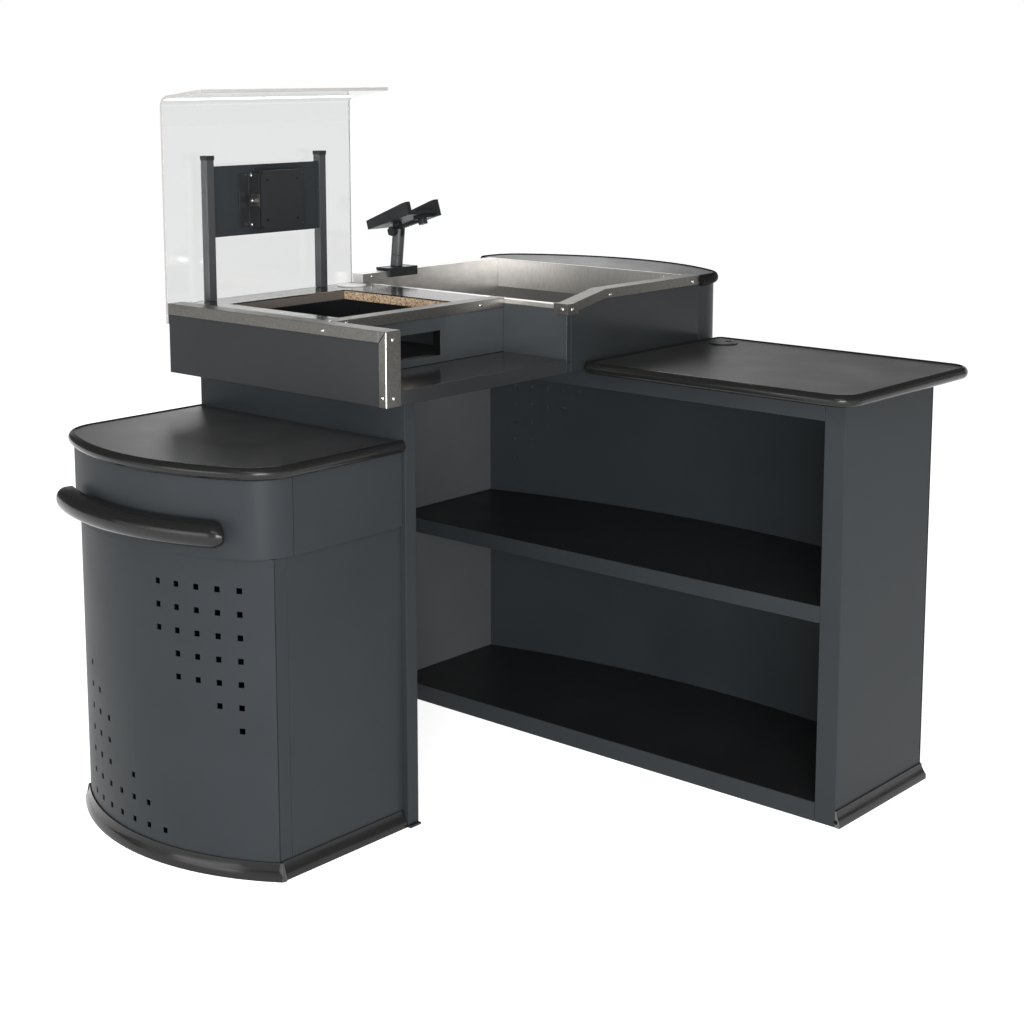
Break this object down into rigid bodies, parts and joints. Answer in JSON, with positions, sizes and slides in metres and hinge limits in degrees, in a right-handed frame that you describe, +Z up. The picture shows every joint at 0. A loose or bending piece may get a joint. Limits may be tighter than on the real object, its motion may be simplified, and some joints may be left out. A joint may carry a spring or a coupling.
{
  "type": "checkout counter",
  "caption": "Shop checkout counter with a rounded bagging end, steel goods tray, cut-out worktop, keyboard recess, clear screen, monitor stand, terminal holder and side shelf unit.",
  "frame": {"origin": "middle of the outline box, on the floor", "axes": "+Z up, +Y from the bagging end to the bowed far end (the longest way), +X to the cashier side with the shelf unit; the customer stands on the -X side"},
  "size_m": [1.1566, 1.4028, 1.2687],
  "materials": {
    "anthracite_coat": "satin fine-texture powder coat",
    "black_steel": "satin black coat",
    "stainless": "fine brushed",
    "laminate_grey": "dark grey laminate on chipboard",
    "laminate_black": "black grained laminate on chipboard",
    "chipboard": "raw chipboard",
    "black_edging": "black plastic moulding",
    "black_plastic": "fine grain",
    "white_plastic": "smooth",
    "clear_acrylic": "clear, polished"
  },
  "bodies": {
    "counter": {"bagging_front_sheet": "anthracite_coat", "bagging_side_right": "anthracite_coat", "bagging_side_left": "anthracite_coat", "bagging_band": "anthracite_coat", "pedestal_end_panel": "anthracite_coat", "customer_wall": "anthracite_coat", "shelf_back": "anthracite_coat", "shelf_end_panel": "anthracite_coat", "mid_shelf_rail": "anthracite_coat", "bottom_shelf_rail": "anthracite_coat", "shelf_top_rail": "anthracite_coat", "far_end_panel": "anthracite_coat", "base_plate": "black_steel", "post_left": "black_steel", "post_right": "black_steel", "cross_plate": "black_steel", "tilt_bracket": "black_steel", "terminal_saddle": "black_steel", "side_top_trim": "stainless", "corner_trim": "stainless", "worktop_skin": "stainless", "worktop_front_trim": "stainless", "goods_tray": "stainless", "rim_trim": "stainless", "pivot_bolt": "stainless", "module_side_panel": "laminate_grey", "recess_back_wall": "laminate_grey", "module_wall": "laminate_grey", "tray_near_wall": "laminate_grey", "tray_front_panel": "laminate_grey", "bagging_top": "laminate_black", "mid_shelf_board": "laminate_black", "bottom_shelf_board": "laminate_black", "module_bearer": "laminate_black", "side_board": "laminate_black", "module_floor": "laminate_black", "recess_ledge": "laminate_black", "tray_floor_board": "laminate_black", "far_end_top": "laminate_black", "bagging_deck": "chipboard", "worktop_board": "chipboard", "bagging_top_edge": "black_edging", "bagging_plinth": "black_edging", "bumper_bar": "black_edging", "shelf_plinth": "black_edging", "side_board_edge": "black_edging", "far_end_edge": "black_edging", "side_grommet_ring": "black_plastic", "screen_spacer": "black_plastic", "terminal_foot": "black_plastic", "top_grommet_ring": "white_plastic", "screen": "clear_acrylic"},
    "monitor_plate": {"vesa_plate": "black_steel"},
    "stem": {"terminal_stem": "black_plastic"},
    "head": {"terminal_head": "black_plastic"},
    "jaw": {"terminal_jaw": "black_plastic"},
    "clamp_screw": {"clamp_knob": "black_plastic"},
    "tilt_screw": {"tilt_knob": "black_plastic"},
    "side_cap": {"side_grommet_cap": "black_plastic"},
    "top_cap": {"top_grommet_cap": "white_plastic"}
  },
  "joints": [
    {"name": "monitor_tilt", "type": "hinge", "parent": "counter", "child": "monitor_plate", "pos_m": [-0.51237, -0.17228, 1.0615], "axis": [0, 1, 0], "range_deg": [-15, 15]},
    {"name": "terminal_swivel", "type": "hinge", "parent": "counter", "child": "stem", "pos_m": [-0.53867, 0.22672, 0.9043], "axis": [0.1045, 0, 0.9945], "range_deg": [-160, 160]},
    {"name": "terminal_tilt", "type": "hinge", "parent": "stem", "child": "head", "pos_m": [-0.53104, 0.22672, 0.9769], "axis": [0, 1, 0], "range_deg": [-20, 25]},
    {"name": "jaw_slide", "type": "slide", "parent": "head", "child": "jaw", "axis": [0, 1, 0], "range_m": [-0.006, 0.01]},
    {"name": "clamp_knob_turn", "type": "hinge", "parent": "jaw", "child": "clamp_screw", "pos_m": [-0.47286, 0.23772, 0.99524], "axis": [-0.3007, 0, 0.9537], "continuous": true},
    {"name": "tilt_knob_turn", "type": "hinge", "parent": "head", "child": "tilt_screw", "pos_m": [-0.53104, 0.22672, 0.9769], "axis": [0, 1, 0], "continuous": true},
    {"name": "side_cap_turn", "type": "hinge", "parent": "counter", "child": "side_cap", "pos_m": [0.06733, 0.52572, 0.769], "axis": [0, 0, 1], "continuous": true},
    {"name": "top_cap_turn", "type": "hinge", "parent": "counter", "child": "top_cap", "pos_m": [-0.50567, 0.06672, 0.88], "axis": [0, 0, 1], "continuous": true}
  ]
}
